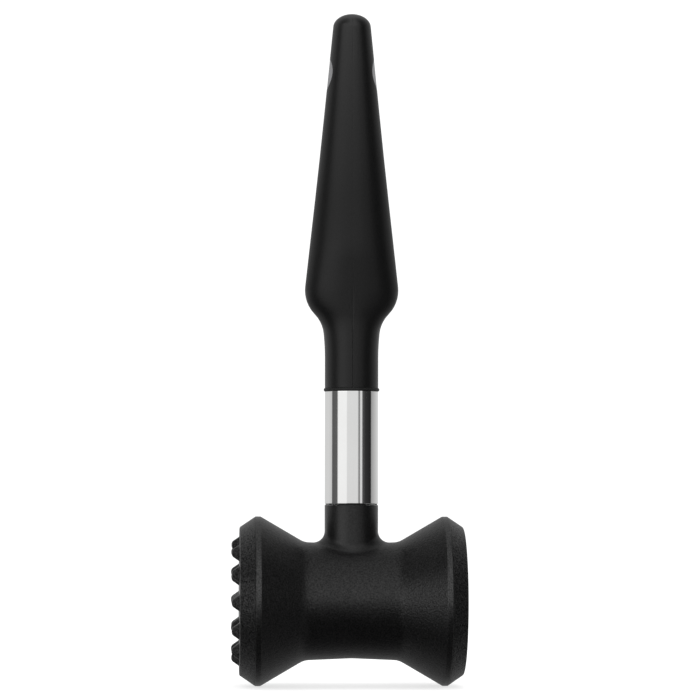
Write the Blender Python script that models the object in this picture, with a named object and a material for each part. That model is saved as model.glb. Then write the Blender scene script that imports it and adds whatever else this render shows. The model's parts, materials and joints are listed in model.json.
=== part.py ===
"""Meat mallet: an hourglass head with a toothed and a smooth face, on a steel collar and a tapered grip.

The handle's axis is vertical (+Z) and the head lies along X, with its teeth towards -X. The origin is
on the surface that the upright mallet stands on, under the middle of its bounding box. The teeth stand
out of one end only, so the handle's axis is a little to the +X side of the origin: every piece hangs
from an empty on that axis.
"""

import math

import bmesh
import bpy
from mathutils import Vector

MM = 0.001
CLEARANCE = 0.3 * MM
SAME_POINT = 0.001 * MM

# Facets of round pieces.
HEAD_STEPS = 48
ROUND_STEPS = 32
HOLE_STEPS = 24
ARC_STEP_ANGLE = math.radians(25)
FILLET_STEPS = 4

# Head, turned about X. Corners are (distance along the axis, radius, fillet radius).
HEAD_HEIGHT = 32.0 * MM
WAIST_RADIUS = 21.6 * MM
FACE_DISTANCE = 42.4 * MM
HEAD_CORNERS = (
    (0.0, WAIST_RADIUS, 0.0),
    (8.6 * MM, WAIST_RADIUS, 190.0 * MM),
    (18.0 * MM, 22.4 * MM, 7.0 * MM),
    (34.45 * MM, HEAD_HEIGHT, 0.8 * MM),
    (36.35 * MM, HEAD_HEIGHT, 0.0),
    (FACE_DISTANCE, 27.9 * MM, 1.0 * MM),
    (FACE_DISTANCE, 0.0, 0.0),
)
CAP_SEAM = 36.65 * MM
SOCKET_RADIUS = 25.0 * MM
SOCKET_DEPTH_AT = 29.0 * MM
SLUG_BORE_RADIUS = 16.0 * MM

# Teeth: square frustums on the -X face, one in the middle and two rings round it.
TOOTH_BASE = 6.7 * MM
TOOTH_TOP = 2.4 * MM
TOOTH_HEIGHT = 3.0 * MM
TOOTH_ROOT = 1.0 * MM
TOOTH_RING_STEP = 10.75 * MM
TEETH_PER_RING_STEP = 6
TOOTH_RINGS = 2

# Caps, buffers, studs and slug, as distances along the head's axis and radii.
CAP_SPIGOT_END = SOCKET_DEPTH_AT + 2 * CLEARANCE
CAP_CUP_FLOOR = 36.0 * MM
CAP_CUP_RADIUS = 21.7 * MM
CAP_BOSS_RADIUS = 7.0 * MM
CAP_BOSS_END = 30.2 * MM
STUD_RADIUS = 3.0 * MM
STUD_INNER_END = 9.0 * MM
STUD_FLANGE_RADIUS = 5.0 * MM
STUD_FLANGE_START = 32.3 * MM
STUD_FLANGE_END = 34.3 * MM
SLUG_RADIUS = SLUG_BORE_RADIUS - CLEARANCE
SLUG_HALF_LENGTH = 25.0 * MM
SLUG_CHAMFER = 1.0 * MM
BUFFER_NOSE_RADIUS = 15.4 * MM

# Neck stub, collar and shank, by height above the surface.
NECK_RADIUS = 10.0 * MM
NECK_FILLET = 4.8 * MM
NECK_TOP = 67.8 * MM
NECK_ROOT_RADIUS = 8.0 * MM
NECK_ROOT_HEIGHT = 49.5 * MM
NECK_SINK = 0.1 * MM
NECK_SEAL_RADIUS = 9.8 * MM
NECK_SEAL_THICKNESS = 0.6 * MM
COLLAR_RADIUS = 10.0 * MM
COLLAR_WALL = 1.2 * MM
COLLAR_BOTTOM = 69.0 * MM
COLLAR_TOP = 111.3 * MM
COLLAR_EDGE = 0.4 * MM
BUSH_LENGTH = 11.0 * MM
SHANK_RADIUS = 5.0 * MM
SHANK_BOTTOM = 23.3 * MM
SHANK_THREAD_RADIUS = 4.0 * MM
SHANK_TOP = 155.0 * MM
SHANK_CHAMFER = 0.6 * MM
SHANK_BORE_RADIUS = SHANK_RADIUS + CLEARANCE
THREAD_BORE_RADIUS = SHANK_THREAD_RADIUS + CLEARANCE
WASHER_RADIUS = 8.4 * MM
WASHER_THICKNESS = 1.3 * MM
GRIP_SEAL_RADIUS = 10.4 * MM
GRIP_SEAL_BORE_RADIUS = 8.8 * MM
GRIP_SEAL_THICKNESS = 1.0 * MM

# Handle: half width (X) and half depth (Y) against height, as (height, half size, fillet radius).
GRIP_BOTTOM = 112.9 * MM
TAPER_TOP = 250.15 * MM
HANDLE_TOP = 254.9 * MM
DOME_RADIUS = 6.95 * MM
DOME_START_ANGLE = math.radians(3.9)
WIDTH_CORNERS = (
    (GRIP_BOTTOM - 2.0 * MM, NECK_RADIUS, 0.0),
    (136.4 * MM, NECK_RADIUS, 16.0 * MM),
    (145.95 * MM, 18.24 * MM, 12.0 * MM),
    (200.7 * MM, 11.87 * MM, 5500.0 * MM),
    (TAPER_TOP, DOME_RADIUS, 0.0),
)
DEPTH_CORNERS = (
    (GRIP_BOTTOM - 2.0 * MM, NECK_RADIUS, 0.0),
    (138.0 * MM, NECK_RADIUS, 60.0 * MM),
    (166.0 * MM, 11.7 * MM, 90.0 * MM),
    (TAPER_TOP, DOME_RADIUS, 0.0),
)
# Heights of the sections, close together in the flare and wide apart along the taper.
FLARE_HEIGHTS = [(130.5 + 2.7 * index) * MM for index in range(9)]
TAPER_HEIGHTS = [height * MM for height in (158.0, 170.0, 185.0, 205.0, 230.0)]
LOFT_STEP_ANGLE = math.radians(3)
LOFT_STEPS = 36
DOME_STEPS = 5
CORE_INSET = 2.6 * MM
CORE_BOTTOM = 113.2 * MM
CORE_TOP = 221.7 * MM
NUT_ACROSS_FLATS = 13.0 * MM
NUT_HEIGHT = 6.5 * MM
NUT_BOTTOM = 141.5 * MM

# Medallions: oval inlays that follow the handle's sides, a little below its surface.
MEDALLION_HEIGHT = 232.5 * MM
MEDALLION_HALF_WIDTH = 5.15 * MM
MEDALLION_HALF_LENGTH = 6.45 * MM
MEDALLION_RECESS = 0.2 * MM
MEDALLION_THICKNESS = 1.1 * MM
OVAL_TURN = 0.3  # part of a facet, which keeps the oval's corners off the handle's own edges

# Colour (linear), roughness and metallic value of each finish.
FINISHES = {
    "moulded_black": ((0.012, 0.012, 0.013), 0.48, 0.0),
    "soft_black": ((0.014, 0.014, 0.014), 0.42, 0.0),
    "seal_black": ((0.008, 0.008, 0.008), 0.60, 0.0),
    "buffer_grey": ((0.050, 0.050, 0.055), 0.80, 0.0),
    "natural_nylon": ((0.620, 0.600, 0.540), 0.50, 0.0),
    "polished_steel": ((0.780, 0.780, 0.770), 0.10, 1.0),
    "zinc_steel": ((0.520, 0.530, 0.550), 0.35, 1.0),
    "slug_steel": ((0.300, 0.300, 0.310), 0.50, 1.0),
    "medallion_grey": ((0.230, 0.230, 0.235), 0.35, 0.0),
}

TO_PLUS_X = (0.0, math.radians(90), 0.0)
TO_MINUS_X = (0.0, math.radians(-90), 0.0)


def clear_scene():
    for obj in list(bpy.data.objects):
        bpy.data.objects.remove(obj, do_unlink=True)


def finish_material(piece_name, finish):
    colour, roughness, metallic = FINISHES[finish]
    material = bpy.data.materials.new(piece_name)
    material.use_nodes = True
    shader = material.node_tree.nodes["Principled BSDF"]
    shader.inputs["Base Color"].default_value = (*colour, 1.0)
    shader.inputs["Roughness"].default_value = roughness
    shader.inputs["Metallic"].default_value = metallic
    material.diffuse_color = (*colour, 1.0)
    return material


def fillet_corner(before, corner, after, radius, step_angle):
    """Points of the arc that rounds one corner of a flat outline."""
    inward = (Vector(before) - Vector(corner)).normalized()
    outward = (Vector(after) - Vector(corner)).normalized()
    half_angle = inward.angle(outward) / 2
    middle = (inward + outward).normalized()
    centre = Vector(corner) + middle * (radius / math.sin(half_angle))
    start = Vector(corner) + inward * (radius / math.tan(half_angle)) - centre
    end = Vector(corner) + outward * (radius / math.tan(half_angle)) - centre
    sweep = start.angle(end)
    steps = math.ceil(sweep / step_angle)
    points = []
    for step in range(steps + 1):
        part = step / steps
        weight_start = math.sin((1 - part) * sweep) / math.sin(sweep)
        weight_end = math.sin(part * sweep) / math.sin(sweep)
        points.append(centre + start * weight_start + end * weight_end)
    return [(point.x, point.y) for point in points]


def rounded_outline(corners, step_angle=ARC_STEP_ANGLE):
    """Outline through (distance, size, fillet radius) corners, with an arc where the radius isn't zero."""
    points = []
    for index, (distance, size, radius) in enumerate(corners):
        if radius == 0.0:
            points.append((distance, size))
            continue
        before = corners[index - 1][:2]
        after = corners[index + 1][:2]
        points.extend(fillet_corner(before, (distance, size), after, radius, step_angle))
    return points


def size_at(outline, distance):
    """Size that an outline of (distance, size) points has at one distance."""
    for low, high in zip(outline, outline[1:]):
        if low[0] <= distance <= high[0]:
            part = (distance - low[0]) / (high[0] - low[0])
            return low[1] + part * (high[1] - low[1])
    raise ValueError(f"the outline doesn't reach {distance}")


def new_object(name, mesh_builder, finish=None):
    """Object with a smooth-shaded mesh. Without a finish it's a cutter, which the model doesn't show."""
    mesh = bpy.data.meshes.new(name)
    shape = bmesh.new()
    mesh_builder(shape)
    bmesh.ops.recalc_face_normals(shape, faces=shape.faces)
    shape.to_mesh(mesh)
    shape.free()
    mesh.shade_smooth()
    mesh.set_sharp_from_angle(angle=math.radians(30))
    obj = bpy.data.objects.new(name, mesh)
    bpy.context.scene.collection.objects.link(obj)
    if finish is None:
        obj.hide_render = True
        obj.display_type = "WIRE"
    else:
        mesh.materials.append(finish_material(name, finish))
    return obj


def place(obj, parent, height=0.0, rotation=(0.0, 0.0, 0.0)):
    obj.parent = parent
    obj.location = (0.0, 0.0, height)
    obj.rotation_euler = rotation
    return obj


def turned(name, outline, finish=None, steps=ROUND_STEPS):
    """Solid of revolution about Z. The outline is a closed loop of (height, radius) points."""

    def build(shape):
        loop = [shape.verts.new((radius, 0.0, height)) for height, radius in outline]
        off_axis = [i for i in range(len(loop)) if max(outline[i - 1][1], outline[i][1]) > 0.0]
        edges = [shape.edges.new((loop[i - 1], loop[i])) for i in off_axis]
        bmesh.ops.spin(
            shape,
            geom=loop + edges,
            cent=(0.0, 0.0, 0.0),
            axis=(0.0, 0.0, 1.0),
            angle=math.tau,
            steps=steps,
            use_merge=True,
        )
        bmesh.ops.remove_doubles(shape, verts=shape.verts, dist=SAME_POINT)
        flatten_end_discs(shape)

    return new_object(name, build, finish)


def flatten_end_discs(shape):
    """Turns each fan of triangles round the axis into one flat face."""
    centres = [vert for vert in shape.verts if vert.co.xy.length < SAME_POINT]
    for centre in centres:
        bmesh.ops.dissolve_faces(shape, faces=list(centre.link_faces), use_verts=True)


def cylinder_outline(low, high, radius):
    return [(high, 0.0), (high, radius), (low, radius), (low, 0.0)]


def ring_outline(low, high, radius, bore_radius):
    return [(high, bore_radius), (high, radius), (low, radius), (low, bore_radius)]


def chamfered_ring_outline(low, high, radius, bore_radius, edge):
    """Closed loop of a ring whose two outer edges are chamfered by `edge`."""
    return [
        (high, bore_radius),
        (high, radius - edge),
        (high - edge, radius),
        (low + edge, radius),
        (low, radius - edge),
        (low, bore_radius),
    ]


def add_boolean(obj, tool, operation):
    modifier = obj.modifiers.new(f"{operation.lower()} {tool.name}", "BOOLEAN")
    modifier.operation = operation
    modifier.solver = "EXACT"
    modifier.object = tool


def head_outline(low, high):
    """The head's outer profile between two distances along its axis, as (distance, radius) points."""
    outline = rounded_outline(HEAD_CORNERS)
    start = (low, size_at(outline, low))
    if high >= FACE_DISTANCE:
        return [start] + [point for point in outline if point[0] > low]
    inside = [point for point in outline if low < point[0] < high]
    return [start] + inside + [(high, size_at(outline, high))]


def make_head_shell(frame):
    half = head_outline(0.0, CAP_SEAM - CLEARANCE)
    mirrored = [(-distance, radius) for distance, radius in reversed(half[1:])]
    end = CAP_SEAM - CLEARANCE
    bore = [
        (end, SOCKET_RADIUS),
        (SOCKET_DEPTH_AT, SOCKET_RADIUS),
        (SOCKET_DEPTH_AT, SLUG_BORE_RADIUS),
        (-SOCKET_DEPTH_AT, SLUG_BORE_RADIUS),
        (-SOCKET_DEPTH_AT, SOCKET_RADIUS),
        (-end, SOCKET_RADIUS),
    ]
    shell = turned("head_shell", mirrored + half + bore, "moulded_black", HEAD_STEPS)
    place(shell, frame, HEAD_HEIGHT, TO_PLUS_X)
    neck = place(new_object("neck_stub_cutter", build_neck_stub), frame)
    neck_bore = cylinder_outline(HEAD_HEIGHT, NECK_TOP + MM, SHANK_BORE_RADIUS)
    bore_tool = place(turned("neck_bore_cutter", neck_bore, None, HOLE_STEPS), frame)
    add_boolean(shell, neck, "UNION")
    add_boolean(shell, bore_tool, "DIFFERENCE")


def neck_fillet(azimuth):
    """Fillet between the neck and the waist in the upright plane at one azimuth from +X.

    Returns the fillet circle's height, and the radius and slope of the waist where the circle meets it.
    """
    waist = WAIST_RADIUS - NECK_SINK
    across = math.sin(azimuth)

    def waist_point(radius):
        rise = math.sqrt(waist * waist - (radius * across) ** 2)
        return HEAD_HEIGHT + rise, -radius * across * across / rise

    low, high = NECK_RADIUS, NECK_RADIUS + NECK_FILLET
    for _ in range(40):
        radius = (low + high) / 2
        slope = waist_point(radius)[1]
        if radius - NECK_FILLET * slope / math.hypot(1.0, slope) < NECK_RADIUS + NECK_FILLET:
            low = radius
        else:
            high = radius
    height, slope = waist_point(radius)
    return height + NECK_FILLET / math.hypot(1.0, slope), slope


def build_neck_stub(shape):
    """Upright stub that flares into the waist. Its root ends inside the shell's wall."""
    rings = [[] for _ in range(FILLET_STEPS + 3)]
    for step in range(ROUND_STEPS):
        azimuth = math.tau * step / ROUND_STEPS
        centre_height, slope = neck_fillet(azimuth)
        section = [(NECK_RADIUS, NECK_TOP)]
        end_angle = math.pi + math.atan2(1.0, -slope)
        for arc_step in range(FILLET_STEPS + 1):
            angle = math.pi + (end_angle - math.pi) * arc_step / FILLET_STEPS
            radius = NECK_RADIUS + NECK_FILLET + NECK_FILLET * math.cos(angle)
            section.append((radius, centre_height + NECK_FILLET * math.sin(angle)))
        section.append((NECK_ROOT_RADIUS, NECK_ROOT_HEIGHT))
        for ring, (radius, height) in zip(rings, section):
            ring.append(shape.verts.new((radius * math.cos(azimuth), radius * math.sin(azimuth), height)))
    bridge_rings(shape, rings)


def new_ring(shape, height, half_width, half_depth, steps):
    """Level ring of points on an ellipse round the Z axis."""
    angles = [math.tau * index / steps for index in range(steps)]
    return [shape.verts.new((half_width * math.cos(a), half_depth * math.sin(a), height)) for a in angles]


def bridge_rings(shape, rings):
    """Joins rings of equal length into a closed tube with a flat face at each end."""
    for upper, lower in zip(rings, rings[1:]):
        for index in range(len(upper)):
            shape.faces.new((upper[index - 1], upper[index], lower[index], lower[index - 1]))
    shape.faces.new(rings[0])
    shape.faces.new(rings[-1])


def cap_outline():
    """Closed loop of an end cap: rim, spigot, cup for the buffer, and boss with the stud's pocket."""
    return head_outline(CAP_SEAM, FACE_DISTANCE) + [
        (STUD_FLANGE_END + CLEARANCE, 0.0),
        (STUD_FLANGE_END + CLEARANCE, STUD_FLANGE_RADIUS + CLEARANCE),
        (STUD_FLANGE_START - CLEARANCE, STUD_FLANGE_RADIUS + CLEARANCE),
        (STUD_FLANGE_START - CLEARANCE, STUD_RADIUS + CLEARANCE),
        (CAP_BOSS_END, STUD_RADIUS + CLEARANCE),
        (CAP_BOSS_END, CAP_BOSS_RADIUS),
        (CAP_CUP_FLOOR, CAP_BOSS_RADIUS),
        (CAP_CUP_FLOOR, CAP_CUP_RADIUS),
        (CAP_SPIGOT_END, CAP_CUP_RADIUS),
        (CAP_SPIGOT_END, SOCKET_RADIUS - CLEARANCE),
        (CAP_SEAM, SOCKET_RADIUS - CLEARANCE),
    ]


def tooth_places():
    """Centres of the teeth on the face: one in the middle, then rings of 6 and 12."""
    places = [(0.0, 0.0)]
    for ring in range(1, TOOTH_RINGS + 1):
        count = TEETH_PER_RING_STEP * ring
        for index in range(count):
            angle = math.tau * index / count
            radius = ring * TOOTH_RING_STEP
            places.append((radius * math.sin(angle), radius * math.cos(angle)))
    return places


def build_teeth(shape):
    """Separate square frustums whose roots reach below the face."""
    flank = (TOOTH_BASE - TOOTH_TOP) / 2 / TOOTH_HEIGHT
    top = (TOOTH_TOP / 2, FACE_DISTANCE + TOOTH_HEIGHT)
    root = (TOOTH_BASE / 2 + flank * TOOTH_ROOT, FACE_DISTANCE - TOOTH_ROOT)
    for across, along in tooth_places():
        rings = []
        for half, height in (top, root):
            corners = ((half, half), (-half, half), (-half, -half), (half, -half))
            rings.append([shape.verts.new((across + x, along + y, height)) for x, y in corners])
        bridge_rings(shape, rings)


def make_caps(frame):
    smooth = turned("smooth_cap", cap_outline(), "moulded_black", HEAD_STEPS)
    place(smooth, frame, HEAD_HEIGHT, TO_PLUS_X)
    toothed = turned("toothed_cap", cap_outline(), "moulded_black", HEAD_STEPS)
    place(toothed, frame, HEAD_HEIGHT, TO_MINUS_X)
    teeth = place(new_object("teeth_cutter", build_teeth), frame, HEAD_HEIGHT, TO_MINUS_X)
    add_boolean(toothed, teeth, "UNION")


def make_head_inside(frame):
    """Buffers and studs, one of each for either end, and the slug between them."""
    buffer_outline = [
        (SLUG_HALF_LENGTH + CLEARANCE, STUD_RADIUS + CLEARANCE),
        (SLUG_HALF_LENGTH + CLEARANCE, BUFFER_NOSE_RADIUS),
        (SOCKET_DEPTH_AT + CLEARANCE, BUFFER_NOSE_RADIUS),
        (SOCKET_DEPTH_AT + CLEARANCE, CAP_CUP_RADIUS - CLEARANCE),
        (CAP_CUP_FLOOR - CLEARANCE, CAP_CUP_RADIUS - CLEARANCE),
        (CAP_CUP_FLOOR - CLEARANCE, CAP_BOSS_RADIUS + CLEARANCE),
        (CAP_BOSS_END - CLEARANCE, CAP_BOSS_RADIUS + CLEARANCE),
        (CAP_BOSS_END - CLEARANCE, STUD_RADIUS + CLEARANCE),
    ]
    stud_outline = [
        (STUD_FLANGE_END, 0.0),
        (STUD_FLANGE_END, STUD_FLANGE_RADIUS),
        (STUD_FLANGE_START, STUD_FLANGE_RADIUS),
        (STUD_FLANGE_START, STUD_RADIUS),
        (STUD_INNER_END, STUD_RADIUS),
        (STUD_INNER_END, 0.0),
    ]
    for side, turn in (("toothed", TO_MINUS_X), ("smooth", TO_PLUS_X)):
        place(turned(f"{side}_buffer", buffer_outline, "buffer_grey"), frame, HEAD_HEIGHT, turn)
        place(turned(f"{side}_cap_stud", stud_outline, "zinc_steel", HOLE_STEPS), frame, HEAD_HEIGHT, turn)
    make_slug(frame)


def make_slug(frame):
    slug_outline = [
        (SLUG_HALF_LENGTH, 0.0),
        (SLUG_HALF_LENGTH, SLUG_RADIUS - SLUG_CHAMFER),
        (SLUG_HALF_LENGTH - SLUG_CHAMFER, SLUG_RADIUS),
        (SLUG_CHAMFER - SLUG_HALF_LENGTH, SLUG_RADIUS),
        (-SLUG_HALF_LENGTH, SLUG_RADIUS - SLUG_CHAMFER),
        (-SLUG_HALF_LENGTH, 0.0),
    ]
    slug = place(turned("weight_slug", slug_outline, "slug_steel"), frame, HEAD_HEIGHT, TO_PLUS_X)
    slug_top = HEAD_HEIGHT + SLUG_RADIUS
    shank_hole = cylinder_outline(SHANK_BOTTOM - CLEARANCE, slug_top + MM, SHANK_BORE_RADIUS)
    tool = place(turned("shank_hole_cutter", shank_hole, None, HOLE_STEPS), frame)
    add_boolean(slug, tool, "DIFFERENCE")
    stud_hole = cylinder_outline(STUD_INNER_END - CLEARANCE, SLUG_HALF_LENGTH + MM, STUD_RADIUS + CLEARANCE)
    for side, turn in (("toothed", TO_MINUS_X), ("smooth", TO_PLUS_X)):
        tool = turned(f"{side}_stud_hole_cutter", stud_hole, None, HOLE_STEPS)
        add_boolean(slug, place(tool, frame, HEAD_HEIGHT, turn), "DIFFERENCE")


def make_collar(frame):
    """Collar tube on its seal, with the two bushes that centre the shank in it."""
    seal_low = NECK_TOP + CLEARANCE
    seal = ring_outline(seal_low, seal_low + NECK_SEAL_THICKNESS, NECK_SEAL_RADIUS, SHANK_BORE_RADIUS)
    place(turned("neck_seal", seal, "seal_black"), frame)
    tube_bore = COLLAR_RADIUS - COLLAR_WALL
    tube = chamfered_ring_outline(COLLAR_BOTTOM, COLLAR_TOP, COLLAR_RADIUS, tube_bore, COLLAR_EDGE)
    place(turned("collar_tube", tube, "polished_steel", HEAD_STEPS), frame)
    bush = ring_outline(0.0, BUSH_LENGTH, tube_bore - CLEARANCE, SHANK_BORE_RADIUS)
    place(turned("lower_bush", bush, "natural_nylon"), frame, COLLAR_BOTTOM)
    place(turned("upper_bush", bush, "natural_nylon"), frame, COLLAR_TOP - BUSH_LENGTH)


def make_shank(frame):
    """Shank with a shoulder at the collar's top, its washer, the grip's seal ring and the insert nut."""
    outline = [
        (SHANK_TOP, 0.0),
        (SHANK_TOP, SHANK_THREAD_RADIUS - SHANK_CHAMFER),
        (SHANK_TOP - SHANK_CHAMFER, SHANK_THREAD_RADIUS),
        (COLLAR_TOP, SHANK_THREAD_RADIUS),
        (COLLAR_TOP, SHANK_RADIUS),
        (SHANK_BOTTOM + SHANK_CHAMFER, SHANK_RADIUS),
        (SHANK_BOTTOM, SHANK_RADIUS - SHANK_CHAMFER),
        (SHANK_BOTTOM, 0.0),
    ]
    place(turned("shank", outline, "zinc_steel", HOLE_STEPS), frame)
    low = COLLAR_TOP + CLEARANCE
    washer = ring_outline(low, low + WASHER_THICKNESS, WASHER_RADIUS, THREAD_BORE_RADIUS)
    place(turned("shank_washer", washer, "zinc_steel"), frame)
    seal = ring_outline(low, low + GRIP_SEAL_THICKNESS, GRIP_SEAL_RADIUS, GRIP_SEAL_BORE_RADIUS)
    place(turned("grip_seal", seal, "seal_black"), frame)
    nut = place(new_object("insert_nut", hexagon_builder(0.0, NUT_HEIGHT), "zinc_steel"), frame, NUT_BOTTOM)
    nut_bore = cylinder_outline(-MM, NUT_HEIGHT + MM, THREAD_BORE_RADIUS)
    bore_tool = place(turned("nut_bore_cutter", nut_bore, None, HOLE_STEPS), frame, NUT_BOTTOM)
    add_boolean(nut, bore_tool, "DIFFERENCE")


def hexagon_builder(gap, height):
    """Builder of a hexagonal prism that is `gap` larger than the nut on every flat."""

    def build(shape):
        corner = (NUT_ACROSS_FLATS / 2 + gap) / math.cos(math.radians(30))
        rings = [new_ring(shape, level, corner, corner, 6) for level in (height, 0.0)]
        bridge_rings(shape, rings)

    return build


def handle_sections(inset, low, high):
    """Elliptical sections of the handle as (height, half width, half depth), drawn in by `inset`."""
    width = rounded_outline(WIDTH_CORNERS, LOFT_STEP_ANGLE)
    depth = rounded_outline(DEPTH_CORNERS, LOFT_STEP_ANGLE)
    top = min(high, TAPER_TOP)
    heights = [low] + [height for height in FLARE_HEIGHTS + TAPER_HEIGHTS if low < height < top] + [top]
    sections = [(z, size_at(width, z) - inset, size_at(depth, z) - inset) for z in heights]
    if high <= TAPER_TOP:
        return sections
    rise = (HANDLE_TOP - TAPER_TOP) / (1 - math.sin(DOME_START_ANGLE))
    for step in range(1, DOME_STEPS):
        angle = DOME_START_ANGLE + (math.pi / 2 - DOME_START_ANGLE) * step / DOME_STEPS
        radius = (DOME_RADIUS - inset) * math.cos(angle) / math.cos(DOME_START_ANGLE)
        lift = (rise - inset) * (math.sin(angle) - math.sin(DOME_START_ANGLE))
        sections.append((TAPER_TOP + lift, radius, radius))
    return sections


def handle_builder(inset, low, high):
    """Builder of a solid with the handle's shape, flat at both ends or domed when it reaches the top."""

    def build(shape):
        sections = handle_sections(inset, low, high)
        rings = [new_ring(shape, *section, LOFT_STEPS) for section in sections]
        bridge_rings(shape, rings)
        if high > TAPER_TOP:
            crown = [face for face in shape.faces if set(face.verts) == set(rings[-1])]
            poked = bmesh.ops.poke(shape, faces=crown)
            poked["verts"][0].co.z = HANDLE_TOP - inset

    return build


def oval_builder(gap):
    """Builder of an oval prism from the handle's middle out past its +X side."""

    def build(shape):
        angles = [math.tau * (index + OVAL_TURN) / HOLE_STEPS for index in range(HOLE_STEPS)]
        rings = []
        for distance in (2.0 * DOME_RADIUS, 0.5 * DOME_RADIUS):
            ring = []
            for angle in angles:
                across = (MEDALLION_HALF_WIDTH + gap) * math.cos(angle)
                along = (MEDALLION_HALF_LENGTH + gap) * math.sin(angle)
                ring.append(shape.verts.new((distance, across, MEDALLION_HEIGHT + along)))
            rings.append(ring)
        bridge_rings(shape, rings)

    return build


def make_handle(frame):
    """Hard core with its bore and nut pocket, and the soft sleeve over it."""
    core_shape = handle_builder(CORE_INSET, CORE_BOTTOM, CORE_TOP)
    core = place(new_object("handle_core", core_shape, "natural_nylon"), frame)
    bore = cylinder_outline(CORE_BOTTOM - MM, SHANK_TOP + CLEARANCE, THREAD_BORE_RADIUS)
    add_boolean(core, place(turned("core_bore_cutter", bore, None, HOLE_STEPS), frame), "DIFFERENCE")
    pocket = new_object("nut_pocket_cutter", hexagon_builder(CLEARANCE, NUT_HEIGHT + 2 * CLEARANCE))
    add_boolean(core, place(pocket, frame, NUT_BOTTOM - CLEARANCE), "DIFFERENCE")
    sleeve_shape = handle_builder(0.0, GRIP_BOTTOM, HANDLE_TOP)
    sleeve = place(new_object("grip_sleeve", sleeve_shape, "soft_black"), frame)
    cavity = handle_builder(CORE_INSET - CLEARANCE, GRIP_BOTTOM - MM, CORE_TOP + CLEARANCE)
    add_boolean(sleeve, place(new_object("core_cavity_cutter", cavity), frame), "DIFFERENCE")
    make_medallions(frame, sleeve)


def make_medallions(frame, sleeve):
    """Oval inlays in pockets in the sleeve's two sides. Each follows the handle's surface."""
    seat = MEDALLION_RECESS + MEDALLION_THICKNESS
    insets = {"medallion_skin": MEDALLION_RECESS, "medallion_back": seat, "pocket_floor": seat + CLEARANCE}
    tools = {}
    for name, inset in insets.items():
        tools[name] = new_object(f"{name}_cutter", handle_builder(inset, GRIP_BOTTOM, HANDLE_TOP))
        place(tools[name], frame)
    for name, turn in (("right", 0.0), ("left", math.pi)):
        medallion = new_object(f"{name}_medallion", oval_builder(0.0), "medallion_grey")
        place(medallion, frame, 0.0, (0.0, 0.0, turn))
        add_boolean(medallion, tools["medallion_skin"], "INTERSECT")
        add_boolean(medallion, tools["medallion_back"], "DIFFERENCE")
        pocket = new_object(f"{name}_pocket_cutter", oval_builder(CLEARANCE))
        place(pocket, frame, 0.0, (0.0, 0.0, turn))
        add_boolean(pocket, tools["pocket_floor"], "DIFFERENCE")
        add_boolean(sleeve, pocket, "DIFFERENCE")


def main():
    clear_scene()
    frame = bpy.data.objects.new("handle_axis", None)
    frame.location = (TOOTH_HEIGHT / 2, 0.0, 0.0)
    bpy.context.scene.collection.objects.link(frame)
    make_head_shell(frame)
    make_caps(frame)
    make_head_inside(frame)
    make_collar(frame)
    make_shank(frame)
    make_handle(frame)


main()
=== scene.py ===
"""Looks of the meat mallet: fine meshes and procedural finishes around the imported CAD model.

Metres, +Z up. The mallet stands on its head, which lies along X with the teeth towards -X.
"""

import json
import math

import bmesh
import bpy
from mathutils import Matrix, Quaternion, Vector


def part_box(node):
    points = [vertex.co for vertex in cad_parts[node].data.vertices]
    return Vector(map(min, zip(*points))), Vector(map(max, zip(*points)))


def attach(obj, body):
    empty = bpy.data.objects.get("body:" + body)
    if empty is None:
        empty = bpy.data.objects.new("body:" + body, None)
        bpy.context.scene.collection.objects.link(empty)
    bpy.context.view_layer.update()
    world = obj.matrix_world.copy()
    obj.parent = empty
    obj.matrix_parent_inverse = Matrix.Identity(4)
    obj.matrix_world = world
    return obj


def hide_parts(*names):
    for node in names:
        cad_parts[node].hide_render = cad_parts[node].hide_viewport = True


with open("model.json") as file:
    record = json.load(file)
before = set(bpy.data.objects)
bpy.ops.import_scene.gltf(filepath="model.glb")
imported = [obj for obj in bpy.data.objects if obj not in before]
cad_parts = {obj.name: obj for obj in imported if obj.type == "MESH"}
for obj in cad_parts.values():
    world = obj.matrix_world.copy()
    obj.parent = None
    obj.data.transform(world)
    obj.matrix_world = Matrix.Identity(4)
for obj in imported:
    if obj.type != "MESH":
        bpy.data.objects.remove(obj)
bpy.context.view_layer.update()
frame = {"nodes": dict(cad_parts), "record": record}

MM = 0.001
BODY = "root"
ARC_STEP = math.radians(5)
SHARP_ANGLE = math.radians(32)
SAME_POINT = 0.001 * MM
SUPPORT_REACH = 0.15 * MM


def middle(box, axis):
    return (getattr(box[0], axis) + getattr(box[1], axis)) / 2


def half_size(box, axis):
    return (getattr(box[1], axis) - getattr(box[0], axis)) / 2


# Places read from the CAD model.
SMOOTH_CAP_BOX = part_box("smooth_cap")
COLLAR_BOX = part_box("collar_tube")
NECK_SEAL_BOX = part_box("neck_seal")
GRIP_SEAL_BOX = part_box("grip_seal")
GRIP_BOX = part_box("grip_sleeve")
MEDALLION_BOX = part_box("right_medallion")
WASHER_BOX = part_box("shank_washer")
AXIS_X = middle(COLLAR_BOX, "x")
HEAD_HEIGHT = middle(SMOOTH_CAP_BOX, "z")
FACE_DISTANCE = SMOOTH_CAP_BOX[1].x - AXIS_X
TOOTH_HEIGHT = -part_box("toothed_cap")[0].x + AXIS_X - FACE_DISTANCE
NECK_SEAL_RADIUS = half_size(NECK_SEAL_BOX, "x")
WASHER_RADIUS = half_size(WASHER_BOX, "x")

# The tubes are slightly fuller, and the handle ends slightly higher, than in the CAD model.
TUBE_FULLNESS = 1.015
HANDLE_EXTRA = 0.65 * MM
COLLAR_RADIUS = TUBE_FULLNESS * half_size(COLLAR_BOX, "x")
GRIP_SEAL_RADIUS = TUBE_FULLNESS * half_size(GRIP_SEAL_BOX, "x")
HANDLE_TOP = GRIP_BOX[1].z + HANDLE_EXTRA

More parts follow.
